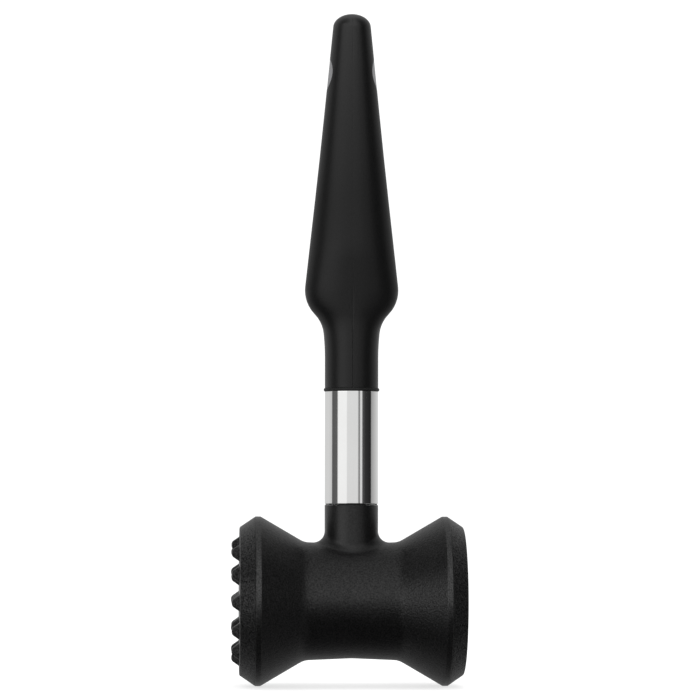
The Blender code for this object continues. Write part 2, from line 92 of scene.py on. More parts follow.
# The CAD pieces keep 0.3 mm gaps. The fine pieces meet at hairlines instead.
HAIRLINE = 0.06 * MM
SEAL_LIFT = 0.3 * MM
SEAL_EXTRA = 0.1 * MM
COLLAR_EXTRA = 0.15 * MM
SEAL_LOW = NECK_SEAL_BOX[0].z + SEAL_LIFT
SEAL_HIGH = NECK_SEAL_BOX[1].z + SEAL_EXTRA
COLLAR_LOW = SEAL_HIGH + HAIRLINE
COLLAR_HIGH = COLLAR_BOX[1].z + COLLAR_EXTRA
LIP_LOW = COLLAR_HIGH + HAIRLINE
LIP_HIGH = GRIP_SEAL_BOX[1].z
GRIP_LOW = LIP_HIGH + HAIRLINE

# Collar and the rings at its ends.
COLLAR_WALL = 1.2 * MM
COLLAR_EDGE = 0.15 * MM
SEAL_EDGE = 0.1 * MM
LIP_EDGE = 0.3 * MM
RING_ARC_STEP = math.radians(15)
RING_STEPS = 160

# Head, turned about X. Corners are (distance along the axis, radius, fillet radius).
HEAD_STEPS = 96
WAIST_RADIUS = 21.60 * MM
HEAD_CORNERS = (
    (0.0, WAIST_RADIUS, 0.0),
    (8.6 * MM, WAIST_RADIUS, 190.0 * MM),
    (18.0 * MM, 22.40 * MM, 7.0 * MM),
    (34.45 * MM, HEAD_HEIGHT, 0.7 * MM),
    (36.35 * MM, HEAD_HEIGHT, 0.35 * MM),
    (FACE_DISTANCE, 27.9 * MM, 1.0 * MM),
    (FACE_DISTANCE, 0.0, 0.0),
)
CAP_SEAM = 36.62 * MM
SEAM_EDGE = 0.05 * MM
SOCKET_RADIUS = 25.0 * MM
SOCKET_END = 29.0 * MM
SOCKET_STEP = 0.01 * MM
SLUG_BORE_RADIUS = 16.0 * MM
SHANK_BORE_RADIUS = 5.3 * MM

# Neck stub with its fillet, set in a window of the head's surface.
NECK_RADIUS = COLLAR_RADIUS
NECK_FILLET = 4.3 * MM
NECK_TOP = SEAL_LOW - HAIRLINE
NECK_EDGE = 0.15 * MM
NECK_ARC_STEP = math.radians(18)
WINDOW_HALF_LENGTH = 20.0 * MM
BORE_WINDOW_HALF_LENGTH = 9.0 * MM
WINDOW_MARGIN = 0.2 * MM
WINDOW_CELLS_ALONG = 28
WINDOW_CELLS_ROUND = 26
WINDOW_RINGS = 9
FILLET_STEPS = 10
FOOT_SEARCH_STEPS = 40
SLOPE_REACH = 0.05 * MM

# The lands round the shell's ends have more shine and a slightly lighter black than the rest, and its
# neck is moulded smoother.
SHELL_FINISHES = ("moulded_black", "glossier_land_black", "neck_black")
GLOSSIER_LAND_RADIUS = HEAD_HEIGHT - 0.12 * MM
SMOOTH_NECK_RADIUS = NECK_RADIUS + 0.4 * NECK_FILLET

# Back of a cap: pocket for the stud's flange, boss, cup for the buffer, and spigot.
FLANGE_POCKET = (32.0 * MM, 34.6 * MM)
FLANGE_POCKET_RADIUS = 5.3 * MM
STUD_HOLE_RADIUS = 3.3 * MM
BOSS_END = 30.2 * MM
BOSS_RADIUS = 7.0 * MM
CUP_FLOOR = 36.0 * MM
CUP_RADIUS = 21.7 * MM
SPIGOT_END = 29.6 * MM
SPIGOT_RADIUS = 24.7 * MM

# Teeth: square frustums with rounded edges, one in the middle and two rings round it.
TOOTH_BASE_HALF = 3.2 * MM
TOOTH_TOP_HALF = 1.15 * MM
TOOTH_EDGE_RADIUS = 1.75 * MM
TOOTH_FOOT_RADIUS = 0.45 * MM
TOOTH_FOOT_REACH = 0.5 * MM
TOOTH_FLAT_HALF = 0.15 * MM
TOOTH_ARC_STEP = math.radians(9)
TOOTH_BASE_SQUARENESS = 9.0
TOOTH_TOP_SQUARENESS = 4.0
TOOTH_SIDE_POINTS = 40
TOOTH_RING_STEP = 10.6 * MM
FACE_MARGIN = 0.6 * MM

# Handle: half width (X) and half depth (Y) against height, as (height, half size, fillet radius).
SKETCH_LOW = GRIP_LOW - 1.0 * MM
TAPER_TOP = 250.8 * MM
DOME_RADIUS = 7.19 * MM
DOME_START_ANGLE = math.radians(3.9)
WIDTH_CORNERS = (
    (SKETCH_LOW, NECK_RADIUS, 0.0),
    (128.1 * MM, NECK_RADIUS, 95.0 * MM),
    (137.65 * MM, 11.05 * MM, 12.2 * MM),
    (145.2 * MM, 18.39 * MM, 12.9 * MM),
    (200.7 * MM, 12.20 * MM, 3000.0 * MM),
    (TAPER_TOP, DOME_RADIUS, 0.0),
)
DEPTH_CORNERS = (
    (SKETCH_LOW, NECK_RADIUS, 0.0),
    (138.0 * MM, NECK_RADIUS, 60.0 * MM),
    (166.0 * MM, 11.7 * MM, 90.0 * MM),
    (TAPER_TOP, DOME_RADIUS, 0.0),
)
# Painted sheen on the handle by height: a painted highlight towards its end, painted shade below the
# middle.
HANDLE_PAINTED_SHEEN = (
    (110.0 * MM, 1.05),
    (132.0 * MM, 1.05),
    (149.0 * MM, 0.88),
    (184.0 * MM, 0.83),
    (220.0 * MM, 1.12),
    (249.5 * MM, 1.48),
    (252.5 * MM, 2.40),
    (HANDLE_TOP, 3.60),
)
LOFT_STEP_ANGLE = math.radians(0.5)
SECTION_SPACING = 1.5 * MM
SECTION_STEPS = 96
DOME_STEPS = 16
CUT_LOW = GRIP_LOW - 0.9 * MM
CORE_INSET = 2.3 * MM
CORE_TOP = 222.0 * MM
WASHER_GAP = 0.2 * MM
PARTING_HALF_ANGLE = math.radians(0.9)
PARTING_DEPTH_NECK = 0.10 * MM
PARTING_DEPTH_TAPER = 0.04 * MM
PARTING_CHANGE = 147.0 * MM
PARTING_BLEND = 6.0 * MM
PARTING_TOP = TAPER_TOP + 3.5 * MM
PARTING_MATCH = 0.001

# Medallions: plain oval inlays that follow the handle's sides, slightly smaller than their CAD solids.
MEDALLION_DROP = 0.2 * MM
MEDALLION_HEIGHT = middle(MEDALLION_BOX, "z") - MEDALLION_DROP
MEDALLION_HALF_LENGTH = 0.9 * half_size(MEDALLION_BOX, "z")
MEDALLION_HALF_WIDTH = 0.84 * half_size(MEDALLION_BOX, "y")
MEDALLION_RECESS = 0.04 * MM
MEDALLION_SEAT = 1.3 * MM
MEDALLION_GAP = 0.06 * MM
OVAL_STEPS = 64
OVAL_START_STEP = 0.3
OVAL_INNER = 0.5 * DOME_RADIUS
OVAL_OUTER = 2.0 * DOME_RADIUS

# Studio. The camera looks slightly up and from a little to the toothed side.
CAMERA_PLACE = Vector((AXIS_X - 0.0543, -1.200, 0.072))
CAMERA_TARGET = Vector((AXIS_X - 0.0006, 0.0, 0.1272))
CAMERA_ROLL = 0.0014
CAMERA_LENS = 162.7
CAMERA_REACH = 50.0
WORLD_STRENGTH = 1.12
FLOOR_SIZE = 12.0
FLOOR_DROP = 0.2 * MM
FLOOR_GREY = 0.40
FLOOR_GLOW = 0.70
FLOOR_ROUGHNESS = 0.9
TOP_LIGHT_PLACE = Vector((AXIS_X, -0.1, 1.8))
TOP_LIGHT_SIZE = 1.6
TOP_LIGHT_POWER = 12.0
TENT_RADIUS = 3.0
TENT_PLACE = Vector((AXIS_X, 0.0, 0.1))
# Light by azimuth in degrees from the -Y side, towards +X.
TENT_PANELS = (
    (-180, 0.80), (-150, 0.82), (-120, 0.88), (-97, 0.78), (-93, 0.13), (-66, 0.15), (-62, 1.20),
    (-23, 1.20), (-21, 0.95), (25, 0.95), (29.5, 0.22), (33, 0.28), (36.5, 0.90), (43, 0.95),
    (46, 0.11), (60, 0.04), (89, 0.02), (93, 0.45), (120, 0.70), (150, 0.85), (180, 0.80),
)
# Light by height in degrees, for the front, the left, the back and the right. Each has the azimuths
# where it counts, except the front, and then its own stops.
TENT_HEIGHTS = (
    (
        None,
        (
            (-90, 0.0), (-25, 0.0), (-8, 0.10), (-3.0, 0.30), (-2.2, 1.0), (3, 1.0), (4.5, 1.35),
            (9, 1.20), (14, 1.0), (22, 1.0), (40, 0.85), (60, 0.85), (90, 0.95),
        ),
    ),
    (
        ((-90, 0.0), (-80, 1.0), (-30, 1.0), (-15, 0.0)),
        (
            (-90, 0.0), (-45, 0.0), (-22, 0.12), (-3.0, 0.85), (-2.2, 1.0), (3, 1.0), (4.5, 1.8),
            (9, 1.5), (15, 0.90), (35, 0.25), (60, 0.22), (90, 0.60),
        ),
    ),
    (
        ((-105, 1.0), (-90, 0.0), (90, 0.0), (105, 1.0)),
        (
            (-90, 0.05), (-75, 0.12), (-55, 0.30), (-30, 0.45), (-10, 0.50), (-3.0, 0.90), (-2.2, 1.0),
            (3, 1.0), (4, 0.50), (8, 0.55), (15, 0.72), (25, 0.68), (40, 0.55), (50, 0.50), (70, 0.65),
            (90, 0.95),
        ),
    ),
    (
        ((40, 0.0), (50, 1.0), (86, 1.0), (95, 0.0)),
        (
            (-90, 0.5), (-65, 1.6), (-40, 2.0), (-15, 1.6), (-3.0, 1.0), (3, 1.0), (25, 0.9), (60, 1.5),
            (90, 4.0),
        ),
    ),
)


# ---------------------------------------------------------------- shader nodes


class Nodes:
    """Short way to write a material's node tree."""

    def __init__(self, tree):
        self.tree = tree

    def add(self, kind, inputs=None, **settings):
        node = self.tree.nodes.new(kind)
        for key, value in settings.items():
            setattr(node, key, value)
        for key, value in (inputs or {}).items():
            self.set(node.inputs[key], value)
        return node

    def set(self, socket, value):
        if isinstance(value, bpy.types.NodeSocket):
            self.tree.links.new(value, socket)
        else:
            socket.default_value = value

    def math(self, operation, first, second=0.0):
        node = self.add("ShaderNodeMath", operation=operation)
        self.set(node.inputs[0], first)
        self.set(node.inputs[1], second)
        return node.outputs[0]

    def ramp(self, factor, stops):
        """Grey ramp through (position, value) stops."""
        node = self.add("ShaderNodeValToRGB", {"Fac": factor})
        elements = node.color_ramp.elements
        while len(elements) < len(stops):
            elements.new(0.5)
        for element, (position, value) in zip(elements, stops):
            element.position = position
            element.color = (value, value, value, 1.0)
        return node.outputs["Color"]

    def noise(self, scale, detail=2.0, stretch=(1.0, 1.0, 1.0)):
        """Noise in the piece's own coordinates, `scale` cells to the metre."""
        place = self.add("ShaderNodeTexCoord").outputs["Object"]
        mapped = self.add("ShaderNodeMapping", {"Vector": place, "Scale": stretch})
        inputs = {"Vector": mapped.outputs["Vector"], "Scale": scale, "Detail": detail}
        return self.add("ShaderNodeTexNoise", inputs).outputs["Fac"]

    def up_the_piece(self, stops):
        """Factor that follows (height, value) stops up the piece."""
        place = self.add("ShaderNodeTexCoord").outputs["Object"]
        height = self.add("ShaderNodeSeparateXYZ", {"Vector": place}).outputs["Z"]
        low, high = stops[0][0], stops[-1][0]
        inputs = {"Value": height, "From Min": low, "From Max": high}
        part = self.add("ShaderNodeMapRange", inputs).outputs["Result"]
        return self.ramp(part, [((z - low) / (high - low), value) for z, value in stops])

    def between(self, factor, low, high):
        node = self.add("ShaderNodeMapRange", {"Value": factor, "To Min": low, "To Max": high})
        return node.outputs["Result"]


def new_material(name):
    material = bpy.data.materials.new(name)
    material.use_nodes = True
    nodes = Nodes(material.node_tree)
    return material, nodes, material.node_tree.nodes["Principled BSDF"]


def tinted(nodes, factor, colour, spread):
    """Colour that varies by `spread`, as a part of itself, with a factor from 0 to 1."""
    dark = [channel * (1 - spread) for channel in colour]
    light = [channel * (1 + spread) for channel in colour]
    node = nodes.add("ShaderNodeMix", {"Factor": factor}, data_type="RGBA")
    node.inputs["A"].default_value = (*dark, 1.0)
    node.inputs["B"].default_value = (*light, 1.0)
    return node.outputs["Result"]


# How moulded surfaces vary: slow cells to the metre, coarse grain, spread of colour and gloss.
SLOW_CELLS = 45.0
COARSE_SCALE = 0.45
COARSE_WEIGHT = 0.5
COLOUR_SPREAD = 0.35
SLOW_GLOSS = 0.04
FINE_GLOSS = 0.06
SPARKLE_LOW = 0.32
SPARKLE_HIGH = 0.68
# How metal varies, in the same way.
METAL_SLOW_CELLS = 60.0
METAL_COLOUR_SPREAD = 0.04
METAL_SLOW_GLOSS = 0.02
METAL_LINE_GLOSS = 0.03


def moulded_plastic(name, colour, roughness, grain, depth, shine=0.5, sparkle=0.0, painted_sheen=None):
    """Moulded surface: spark-eroded grain over a slow change of gloss.

    `grain` is the grain's size, `depth` its height, and `sparkle` how much its shine varies.
    The last argument gives (height, factor) stops that scale the shine up the piece: painted sheen and
    painted shade for how the light falls.
    """
    material, nodes, shader = new_material(name)
    slow = nodes.noise(SLOW_CELLS, 3.0)
    fine = nodes.noise(1.0 / grain, 2.0)
    coarse = nodes.noise(COARSE_SCALE / grain, 1.0)
    height = nodes.math("ADD", fine, nodes.math("MULTIPLY", coarse, COARSE_WEIGHT))
    bump = nodes.add("ShaderNodeBump", {"Height": height, "Distance": depth, "Strength": 1.0})
    nodes.set(shader.inputs["Base Color"], tinted(nodes, fine, colour, COLOUR_SPREAD))
    slow_gloss = nodes.between(slow, -SLOW_GLOSS, SLOW_GLOSS)
    gloss = nodes.math("ADD", slow_gloss, nodes.between(fine, -FINE_GLOSS, FINE_GLOSS))
    nodes.set(shader.inputs["Roughness"], nodes.math("ADD", gloss, roughness))
    inputs = {"Value": fine, "From Min": SPARKLE_LOW, "From Max": SPARKLE_HIGH}
    crisp = nodes.add("ShaderNodeMapRange", inputs).outputs["Result"]
    specular = nodes.between(crisp, shine - sparkle, shine + sparkle)
    # Painted sheen: the shine is scaled by height to stand in for how the light falls.
    if painted_sheen:
        specular = nodes.math("MULTIPLY", specular, nodes.up_the_piece(painted_sheen))
    nodes.set(shader.inputs["Specular IOR Level"], specular)
    nodes.set(shader.inputs["Normal"], bump.outputs["Normal"])
    return material


def turned_metal(name, colour, roughness, line_spacing, depth, along):
    """Metal with fine tool lines. `along` stretches the noise along the lines."""
    material, nodes, shader = new_material(name)
    lines = nodes.noise(1.0 / line_spacing, 3.0, along)
    slow = nodes.noise(METAL_SLOW_CELLS, 3.0)
    bump = nodes.add("ShaderNodeBump", {"Height": lines, "Distance": depth, "Strength": 1.0})
    nodes.set(shader.inputs["Base Color"], tinted(nodes, slow, colour, METAL_COLOUR_SPREAD))
    line_gloss = nodes.between(lines, -METAL_LINE_GLOSS, METAL_LINE_GLOSS)
    slow_gloss = nodes.between(slow, -METAL_SLOW_GLOSS, METAL_SLOW_GLOSS)
    gloss = nodes.math("ADD", line_gloss, slow_gloss)
    nodes.set(shader.inputs["Roughness"], nodes.math("ADD", gloss, roughness))
    nodes.set(shader.inputs["Normal"], bump.outputs["Normal"])
    shader.inputs["Metallic"].default_value = 1.0
    return material


def make_materials():
    """Every finish by name: the record's slots, and three more for the shell and the caps."""
    black = (0.0022, 0.0022, 0.0023)
    round_lines = (0.15, 0.15, 1.0)
    return {
        "moulded_black": moulded_plastic("moulded_black", black, 0.37, 0.55 * MM, 0.13 * MM, 0.5, 0.20),
        "neck_black": moulded_plastic("neck_black", black, 0.37, 0.55 * MM, 0.05 * MM, 0.52, 0.08),
        "cap_black": moulded_plastic("cap_black", black, 0.37, 0.60 * MM, 0.17 * MM, 0.52, 0.42),
        # The lands: more shine and a slightly lighter black than the rest of the shell.
        "glossier_land_black": moulded_plastic(
            "glossier_land_black", (0.0024, 0.0024, 0.0025), 0.36, 0.55 * MM, 0.08 * MM, 0.78, 0.35
        ),
        "soft_black": moulded_plastic(
            "soft_black", (0.0028, 0.0028, 0.0029), 0.38, 0.35 * MM, 0.012 * MM, 0.35, 0.03, HANDLE_PAINTED_SHEEN
        ),
        "seal_rubber": moulded_plastic(
            "seal_rubber", (0.0040, 0.0040, 0.0040), 0.55, 0.30 * MM, 0.006 * MM
        ),
        "buffer_rubber": moulded_plastic(
            "buffer_rubber", (0.05, 0.05, 0.055), 0.75, 0.60 * MM, 0.03 * MM
        ),
        "natural_nylon": moulded_plastic(
            "natural_nylon", (0.62, 0.60, 0.54), 0.50, 0.80 * MM, 0.02 * MM
        ),
        "medallion_grey": moulded_plastic(
            "medallion_grey", (0.18, 0.18, 0.185), 0.38, 0.25 * MM, 0.004 * MM
        ),
        "polished_steel": turned_metal(
            "polished_steel", (0.70, 0.70, 0.695), 0.07, 0.25 * MM, 0.0004 * MM, (1.0, 1.0, 0.01)
        ),
        "zinc_steel": turned_metal(
            "zinc_steel", (0.52, 0.53, 0.55), 0.32, 0.20 * MM, 0.004 * MM, round_lines
        ),
        "slug_steel": turned_metal(
            "slug_steel", (0.30, 0.30, 0.31), 0.45, 0.30 * MM, 0.008 * MM, round_lines
        ),
    }


# ---------------------------------------------------------------- outlines


def fillet_corner(before, corner, after, radius, step_angle):
    """Points of the arc that rounds one corner of a flat outline."""
    inward = (Vector(before) - Vector(corner)).normalized()
    outward = (Vector(after) - Vector(corner)).normalized()
    half_angle = inward.angle(outward) / 2
    centre = Vector(corner) + (inward + outward).normalized() * (radius / math.sin(half_angle))
    start = Vector(corner) + inward * (radius / math.tan(half_angle)) - centre
    end = Vector(corner) + outward * (radius / math.tan(half_angle)) - centre
    sweep = start.angle(end)
    steps = math.ceil(sweep / step_angle)
    points = []
    for step in range(steps + 1):
        weight_start = math.sin((1 - step / steps) * sweep) / math.sin(sweep)
        weight_end = math.sin(step / steps * sweep) / math.sin(sweep)
        points.append(centre + start * weight_start + end * weight_end)
    return [(point.x, point.y) for point in points]


def rounded_outline(corners, step_angle=ARC_STEP):
    """Outline through (distance, size, fillet radius) corners, with arcs where the radius isn't zero."""
    points = []
    for index, (distance, size, radius) in enumerate(corners):
        if radius == 0.0:
            points.append((distance, size))
            continue
        before, after = corners[index - 1], corners[index + 1]
        points.extend(fillet_corner(before[:2], (distance, size), after[:2], radius, step_angle))
    return points


def with_supports(outline):
    """Adds a point just inside both ends of each long straight, so that its shading stays flat."""
    points = []
    for low, high in zip(outline, outline[1:]):
        points.append(low)
        length = math.dist(low, high)
        if length > 4 * SUPPORT_REACH:
            for part in (SUPPORT_REACH / length, 1 - SUPPORT_REACH / length):
                distance = low[0] + part * (high[0] - low[0])
                points.append((distance, low[1] + part * (high[1] - low[1])))
    return points + outline[-1:]


def size_at(outline, distance):
    """Size that an outline of (distance, size) points has at one distance."""
    for low, high in zip(outline, outline[1:]):
        if low[0] <= distance <= high[0]:
            part = (distance - low[0]) / (high[0] - low[0])
            return low[1] + part * (high[1] - low[1])
    raise ValueError(f"the outline doesn't reach {distance}")


HEAD_OUTLINE = with_supports(rounded_outline(HEAD_CORNERS))


# ---------------------------------------------------------------- pieces


def finish_piece(name, shape, material, slot, *nodes):
    """Makes a smooth-shaded object of a bmesh, and lets it stand for CAD nodes."""
    bmesh.ops.recalc_face_normals(shape, faces=shape.faces)
    mesh = bpy.data.meshes.new(name)
    shape.to_mesh(mesh)
    shape.free()
    mesh.shade_smooth()
    mesh.set_sharp_from_angle(angle=SHARP_ANGLE)
    mesh.materials.append(material)
    piece = bpy.data.objects.new(name, mesh)
    bpy.context.scene.collection.objects.link(piece)
    if nodes:
        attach(piece, BODY)
        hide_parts(*nodes)
    return piece


def turned_shape(outline, steps):
    """Solid of revolution about Z, from a closed loop of (height, radius) points."""
    shape = bmesh.new()
    loop = [shape.verts.new((radius, 0.0, height)) for height, radius in outline]
    off_axis = [i for i in range(len(loop)) if max(outline[i - 1][1], outline[i][1]) > 0.0]
    edges = [shape.edges.new((loop[i - 1], loop[i])) for i in off_axis]
    bmesh.ops.spin(
        shape,
        geom=loop + edges,
        cent=(0.0, 0.0, 0.0),
        axis=(0.0, 0.0, 1.0),
        angle=math.tau,
        steps=steps,
        use_merge=True,
    )
    bmesh.ops.remove_doubles(shape, verts=shape.verts, dist=SAME_POINT)
    for centre in [vert for vert in shape.verts if vert.co.xy.length < SAME_POINT]:
        bmesh.ops.dissolve_faces(shape, faces=list(centre.link_faces), use_verts=True)
    return shape


def ring_corners(low, high, radius, bore_radius, edge):
    """Closed loop of a ring whose two outer edges are rounded."""
    return [(high, bore_radius, 0.0), (high, radius, edge), (low, radius, edge), (low, bore_radius, 0.0)]


def stand_on_axis(piece):
    """Puts a piece made round Z on the handle's axis."""
    piece.location = (AXIS_X, 0.0, 0.0)
    return piece


def lie_in_head(piece, side):
    """Turns a piece made along +Z to the head's axis, towards +X for side 1 and -X for side -1."""
    piece.location = (AXIS_X, 0.0, HEAD_HEIGHT)
    piece.rotation_euler = (0.0, side * math.pi / 2, 0.0)


def make_rings(materials):
    """Collar tube and the two black rings at its ends."""
    bore = COLLAR_RADIUS - COLLAR_WALL
    collar = ring_corners(COLLAR_LOW, COLLAR_HIGH, COLLAR_RADIUS, bore, COLLAR_EDGE)
    seal = ring_corners(SEAL_LOW, SEAL_HIGH, NECK_SEAL_RADIUS, SHANK_BORE_RADIUS, SEAL_EDGE)
    lip = ring_corners(LIP_LOW, LIP_HIGH, GRIP_SEAL_RADIUS, bore, LIP_EDGE)
    for name, corners, slot, node in (
        ("collar_tube_polished", collar, "polished_steel", "collar_tube"),
        ("neck_seal_ring", seal, "seal_rubber", "neck_seal"),
        ("grip_lip_ring", lip, "seal_rubber", "grip_seal"),
    ):
        shape = turned_shape(with_supports(rounded_outline(corners, RING_ARC_STEP)), RING_STEPS)
        stand_on_axis(finish_piece(name, shape, materials[slot], slot, node))


# ---------------------------------------------------------------- head shell


def neck_fillet(azimuth):
    """Fillet between the neck and the head's surface in the upright plane at one azimuth from +X.

    Returns the height of the fillet's centre, and the radius, height and slope of the surface where
    the fillet meets it.
    """
    along, across = math.cos(azimuth), math.sin(azimuth)

    def surface_height(radius):
        head_radius = size_at(HEAD_OUTLINE, abs(radius * along))
        return HEAD_HEIGHT + math.sqrt(head_radius**2 - (radius * across) ** 2)

    def surface_slope(radius):
        rise = surface_height(radius + SLOPE_REACH) - surface_height(radius - SLOPE_REACH)
        return rise / (2 * SLOPE_REACH)

    low, high = NECK_RADIUS, NECK_RADIUS + NECK_FILLET + MM
    for _ in range(FOOT_SEARCH_STEPS):
        radius = (low + high) / 2
        slope = surface_slope(radius)
        if radius - NECK_FILLET * slope / math.hypot(1.0, slope) < NECK_RADIUS + NECK_FILLET:
            low = radius
        else:
            high = radius
    height = surface_height(radius)
    return height + NECK_FILLET / math.hypot(1.0, slope), radius, height, slope


class PiercedSurface:
    """Surface of revolution about X with a window round the top, filled by rings down to a hole."""

    def __init__(self, shape, stations, window_half_length, hole_point):
        self.shape = shape
        self.outline = stations
        half_round = WINDOW_CELLS_ROUND // 2
        inside = [
            -window_half_length + 2 * window_half_length * step / WINDOW_CELLS_ALONG
            for step in range(WINDOW_CELLS_ALONG + 1)
        ]
        left = [point for point in stations if point[0] < -window_half_length - WINDOW_MARGIN]
        right = [point for point in stations if point[0] > window_half_length + WINDOW_MARGIN]
        first, last = len(left), len(left) + WINDOW_CELLS_ALONG
        points = left + [(x, size_at(stations, x)) for x in inside] + right
        turns = range(-HEAD_STEPS // 2, HEAD_STEPS // 2)

        def in_window(i, j):
            return first < i < last and abs(j) < half_round

        self.grid = {}
        for i, (x, radius) in enumerate(points):
            for j in turns:
                if not in_window(i, j):
                    self.grid[i, j] = self.add_vert(x, radius, math.tau * j / HEAD_STEPS)
        for i in range(len(points) - 1):
            for j in turns:
                if first <= i < last and -half_round <= j < half_round:
                    continue
                after = j + 1 if j + 1 < HEAD_STEPS // 2 else -HEAD_STEPS // 2
                corners = ((i, j), (i + 1, j), (i + 1, after), (i, after))
                shape.faces.new([self.grid[corner] for corner in corners])
        self.low_end = [self.grid[0, j] for j in turns]
        self.high_end = [self.grid[len(points) - 1, j] for j in turns]
        keys = [(last, j) for j in range(0, half_round)]
        keys += [(i, half_round) for i in range(last, first, -1)]
        keys += [(first, j) for j in range(half_round, -half_round, -1)]
        keys += [(i, -half_round) for i in range(first, last)]
        keys += [(last, j) for j in range(-half_round, 0)]
        places = [(points[i][0], math.tau * j / HEAD_STEPS) for i, j in keys]
        self.azimuths = [math.atan2(turn * size_at(stations, x), x) for x, turn in places]
        self.hole = self.fill_window([self.grid[key] for key in keys], places, hole_point)

    def add_vert(self, x, radius, turn):
        return self.shape.verts.new((x, radius * math.sin(turn), HEAD_HEIGHT + radius * math.cos(turn)))

    def fill_window(self, border, places, hole_point):
        """Rings of points from the window's border to the hole. Returns the ring at the hole."""
        holes = []
        for azimuth in self.azimuths:
            x, y, z = hole_point(azimuth)
            holes.append((x, math.atan2(y, z - HEAD_HEIGHT)))
        outer = border
        for step in range(WINDOW_RINGS - 1, -1, -1):
            part = step / WINDOW_RINGS
            ring = []
            for (hole_x, hole_turn), (x, turn) in zip(holes, places):
                at_x = hole_x + (x - hole_x) * part
                at_turn = hole_turn + (turn - hole_turn) * part
                ring.append(self.add_vert(at_x, size_at(self.outline, at_x), at_turn))
            join_loops(self.shape, outer, ring)
            outer = ring
        return outer


def join_loops(shape, first, second):
    """Band of faces between two loops of the same number of points."""
    for index in range(len(first)):
        shape.faces.new((first[index - 1], first[index], second[index], second[index - 1]))


def round_point(radius, azimuth, height):
    """Point round the handle's axis, with the azimuth counted from +X."""
    return radius * math.cos(azimuth), radius * math.sin(azimuth), height


def make_head_shell(materials):
    """Hourglass with its neck stub: outside, end faces, stepped bore and shank hole in one skin."""
    shape = bmesh.new()
    end = CAP_SEAM - HAIRLINE / 2
    half = [point for point in HEAD_OUTLINE if point[0] < end - SEAM_EDGE]
    half.append((end - SEAM_EDGE, size_at(HEAD_OUTLINE, end - SEAM_EDGE)))
    half.append((end, size_at(HEAD_OUTLINE, end) - SEAM_EDGE))
    outside = [(-x, radius) for x, radius in reversed(half[1:])] + half
    inner_half = [
        (0.0, SLUG_BORE_RADIUS),
        (SOCKET_END - SOCKET_STEP, SLUG_BORE_RADIUS),
        (SOCKET_END, SOCKET_RADIUS),
        (end, SOCKET_RADIUS),
    ]
    inside = [(-x, radius) for x, radius in reversed(inner_half[1:])] + inner_half

    def outer_hole(azimuth):
        _, radius, height, _ = neck_fillet(azimuth)
        return round_point(radius, azimuth, height)

    def inner_hole(azimuth):
        across = SHANK_BORE_RADIUS * math.sin(azimuth)
        height = HEAD_HEIGHT + math.sqrt(SLUG_BORE_RADIUS**2 - across**2)
        return round_point(SHANK_BORE_RADIUS, azimuth, height)

    outer = PiercedSurface(shape, outside, WINDOW_HALF_LENGTH, outer_hole)
    inner = PiercedSurface(shape, inside, BORE_WINDOW_HALF_LENGTH, inner_hole)
    join_loops(shape, outer.low_end, inner.low_end)
    join_loops(shape, outer.high_end, inner.high_end)
    previous = outer.hole
    for step in range(FILLET_STEPS - 1, -1, -1):
        ring = []
        for azimuth in outer.azimuths:
            centre, _, _, slope = neck_fillet(azimuth)
            angle = math.pi + math.atan2(1.0, -slope) * step / FILLET_STEPS
            radius = NECK_RADIUS + NECK_FILLET + NECK_FILLET * math.cos(angle)
            height = centre + NECK_FILLET * math.sin(angle)
            ring.append(shape.verts.new(round_point(radius, azimuth, height)))
        join_loops(shape, previous, ring)
        previous = ring
    neck_corners = (
        (NECK_TOP - MM, NECK_RADIUS, 0.0),
        (NECK_TOP, NECK_RADIUS, NECK_EDGE),
        (NECK_TOP, SHANK_BORE_RADIUS, 0.0),
    )
    neck = with_supports(rounded_outline(neck_corners, NECK_ARC_STEP))
    for height, radius in neck:
        azimuths = inner.azimuths if radius == SHANK_BORE_RADIUS else outer.azimuths
        ring = [shape.verts.new(round_point(radius, azimuth, height)) for azimuth in azimuths]
        join_loops(shape, previous, ring)
        previous = ring
    join_loops(shape, previous, inner.hole)
    slot = "moulded_black"
    piece = finish_piece("head_shell_moulding", shape, materials[slot], slot, "head_shell")
    finish_shell_faces(piece, materials)
    stand_on_axis(piece)


def finish_shell_faces(piece, materials):
    """Gives the shell's lands and its neck their own finishes."""
    for finish in SHELL_FINISHES[1:]:
        piece.data.materials.append(materials[finish])
    for face in piece.data.polygons:
        centre = face.center
        at_end = abs(centre.x) > SOCKET_END
        above_bore = centre.z > HEAD_HEIGHT + SLUG_BORE_RADIUS
        if at_end and math.hypot(centre.y, centre.z - HEAD_HEIGHT) > GLOSSIER_LAND_RADIUS:
            face.material_index = SHELL_FINISHES.index("glossier_land_black")
        elif above_bore and centre.xy.length < SMOOTH_NECK_RADIUS:
            face.material_index = SHELL_FINISHES.index("neck_black")


# ---------------------------------------------------------------- caps


def cap_back():
    """Back of a cap from its axis outwards, as (distance, radius) points."""
    pocket_low, pocket_high = FLANGE_POCKET
    return [
        (pocket_high, 0.0),
        (pocket_high, FLANGE_POCKET_RADIUS),
        (pocket_low, FLANGE_POCKET_RADIUS),
        (pocket_low, STUD_HOLE_RADIUS),
        (BOSS_END, STUD_HOLE_RADIUS),
        (BOSS_END, BOSS_RADIUS),
        (CUP_FLOOR, BOSS_RADIUS),
        (CUP_FLOOR, CUP_RADIUS),
        (SPIGOT_END, CUP_RADIUS),
        (SPIGOT_END, SPIGOT_RADIUS),
    ]


def cap_outline():
    """Closed loop of an end cap as (distance, radius), from the seam over the rim and back."""
    start = CAP_SEAM + HAIRLINE / 2
    past_edge = start + SEAM_EDGE
    edge = [
        (start, size_at(HEAD_OUTLINE, start) - SEAM_EDGE),
        (past_edge, size_at(HEAD_OUTLINE, past_edge)),
    ]
    rim = [point for point in HEAD_OUTLINE if point[0] > past_edge and point[1] > WAIST_RADIUS]
    face = [(FACE_DISTANCE, rim[-1][1] - FACE_MARGIN), (FACE_DISTANCE, 0.0)]
    return edge + rim + face + cap_back() + [(start, SPIGOT_RADIUS)]


